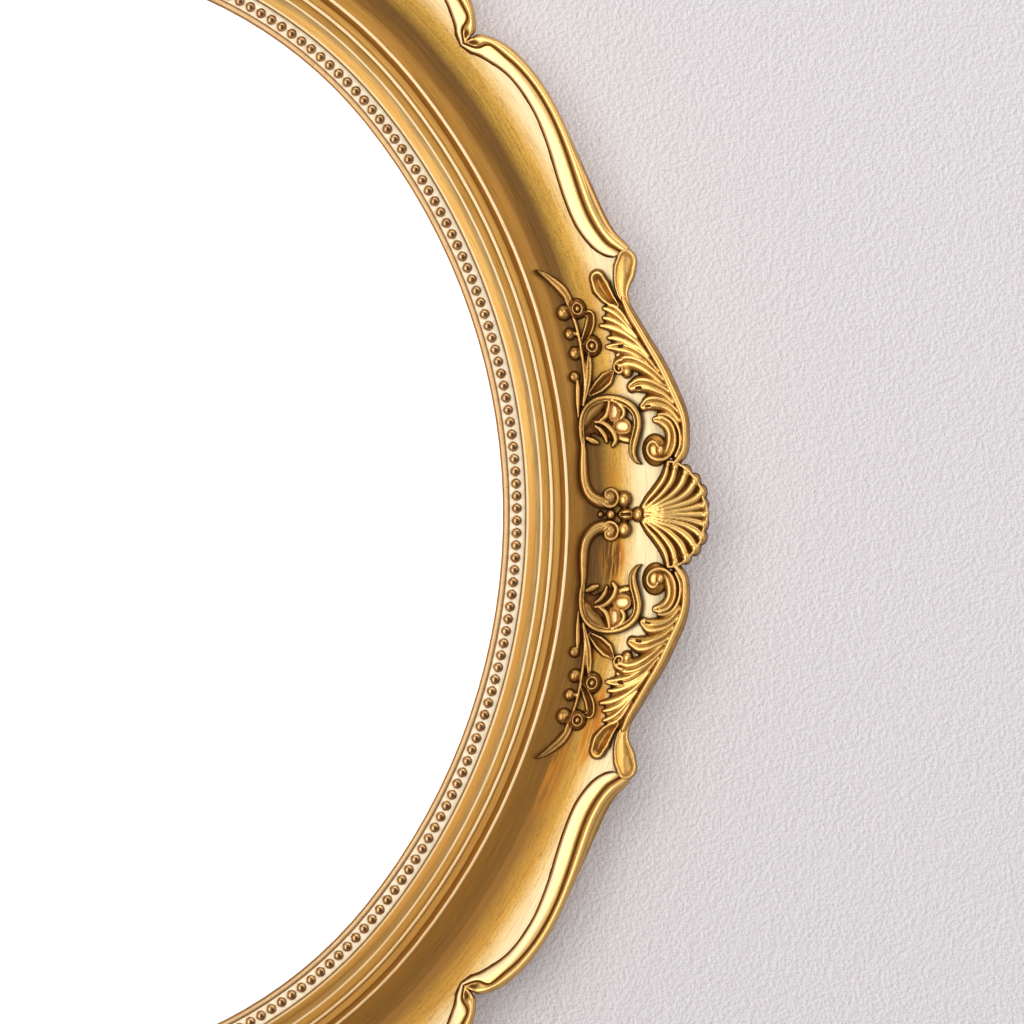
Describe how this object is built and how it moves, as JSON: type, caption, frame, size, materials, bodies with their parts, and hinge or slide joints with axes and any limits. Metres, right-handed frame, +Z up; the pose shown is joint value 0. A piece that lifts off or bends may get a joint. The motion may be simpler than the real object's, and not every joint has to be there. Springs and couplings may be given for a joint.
{
  "type": "oval wall mirror",
  "caption": "Oval wall mirror: gilded moulded frame with shells, leaves, scrolls and a beaded slip round the glass; turn buttons hold its backing and swinging rings hang it.",
  "frame": {"origin": "the middle of the oval on the wall plane that the frame's rear rim lies on", "axes": "+Z up as it hangs, the glass faces -Y, +Y points into the wall"},
  "size_m": [0.3404, 0.0206, 0.3792],
  "materials": {
    "gilt_frame": "antique gold on moulded resin, dark glaze left in the hollows",
    "gilt_ornament": "antique gold on moulded resin, dark glaze in the carving",
    "gilt_slip": "pale gold with brown glaze round the beads",
    "silvered_glass": "flat silvered glass",
    "hardboard": "plain brown hardboard",
    "zinc_steel": "zinc-plated steel"
  },
  "bodies": {
    "mirror": {"acanthus_leaf_bottom_left": "gilt_ornament", "acanthus_leaf_bottom_right": "gilt_ornament", "acanthus_leaf_left_lower": "gilt_ornament", "acanthus_leaf_left_upper": "gilt_ornament", "acanthus_leaf_right_lower": "gilt_ornament", "acanthus_leaf_right_upper": "gilt_ornament", "acanthus_leaf_top_left": "gilt_ornament", "acanthus_leaf_top_right": "gilt_ornament", "backing_board": "hardboard", "beaded_slip": "gilt_slip", "berry_spray_bottom_left": "gilt_ornament", "berry_spray_bottom_right": "gilt_ornament", "berry_spray_left_lower": "gilt_ornament", "berry_spray_left_upper": "gilt_ornament", "berry_spray_right_lower": "gilt_ornament", "berry_spray_right_upper": "gilt_ornament", "berry_spray_top_left": "gilt_ornament", "berry_spray_top_right": "gilt_ornament", "c_scroll_bottom_left": "gilt_ornament", "c_scroll_bottom_right": "gilt_ornament", "c_scroll_left_lower": "gilt_ornament", "c_scroll_left_upper": "gilt_ornament", "c_scroll_right_lower": "gilt_ornament", "c_scroll_right_upper": "gilt_ornament", "c_scroll_top_left": "gilt_ornament", "c_scroll_top_right": "gilt_ornament", "edge_moulding_bottom_left": "gilt_ornament", "edge_moulding_bottom_right": "gilt_ornament", "edge_moulding_left_lower": "gilt_ornament", "edge_moulding_left_upper": "gilt_ornament", "edge_moulding_right_lower": "gilt_ornament", "edge_moulding_right_upper": "gilt_ornament", "edge_moulding_top_left": "gilt_ornament", "edge_moulding_top_right": "gilt_ornament", "frame_moulding": "gilt_frame", "hanger_screws": "zinc_steel", "hanger_strap_left": "zinc_steel", "hanger_strap_right": "zinc_steel", "mirror_glass": "silvered_glass", "pearl_beads": "gilt_slip", "shell_bottom": "gilt_ornament", "shell_left": "gilt_ornament", "shell_right": "gilt_ornament", "shell_top": "gilt_ornament", "turn_button_screws": "zinc_steel"},
    "hanger_ring_left": {"hanger_ring_left": "zinc_steel"},
    "hanger_ring_right": {"hanger_ring_right": "zinc_steel"},
    "turn_button_1": {"turn_button_1": "zinc_steel"},
    "turn_button_2": {"turn_button_2": "zinc_steel"},
    "turn_button_3": {"turn_button_3": "zinc_steel"},
    "turn_button_4": {"turn_button_4": "zinc_steel"},
    "turn_button_5": {"turn_button_5": "zinc_steel"},
    "turn_button_6": {"turn_button_6": "zinc_steel"}
  },
  "joints": [
    {"name": "turn_button_1_turn", "type": "hinge", "parent": "mirror", "child": "turn_button_1", "pos_m": [0.11377, -0.005, -0.0786], "axis": [0, 1, 0], "range_deg": [-100, 100]},
    {"name": "turn_button_2_turn", "type": "hinge", "parent": "mirror", "child": "turn_button_2", "pos_m": [-0.11377, -0.005, -0.0786], "axis": [0, 1, 0], "range_deg": [-100, 100]},
    {"name": "turn_button_3_turn", "type": "hinge", "parent": "mirror", "child": "turn_button_3", "pos_m": [0.11377, -0.005, 0.0786], "axis": [0, 1, 0], "range_deg": [-100, 100]},
    {"name": "turn_button_4_turn", "type": "hinge", "parent": "mirror", "child": "turn_button_4", "pos_m": [-0.11377, -0.005, 0.0786], "axis": [0, 1, 0], "range_deg": [-100, 100]},
    {"name": "turn_button_5_turn", "type": "hinge", "parent": "mirror", "child": "turn_button_5", "pos_m": [0, -0.005, 0.1524], "axis": [0, 1, 0], "range_deg": [-100, 100]},
    {"name": "turn_button_6_turn", "type": "hinge", "parent": "mirror", "child": "turn_button_6", "pos_m": [0, -0.005, -0.1524], "axis": [0, 1, 0], "range_deg": [-100, 100]},
    {"name": "hanger_ring_right_swing", "type": "hinge", "parent": "mirror", "child": "hanger_ring_right", "pos_m": [0.1308, -0.0028, 0.045], "axis": [-1, 0, 0], "range_deg": [0, 172]},
    {"name": "hanger_ring_left_swing", "type": "hinge", "parent": "mirror", "child": "hanger_ring_left", "pos_m": [-0.1308, -0.0028, 0.045], "axis": [-1, 0, 0], "range_deg": [0, 172]}
  ]
}
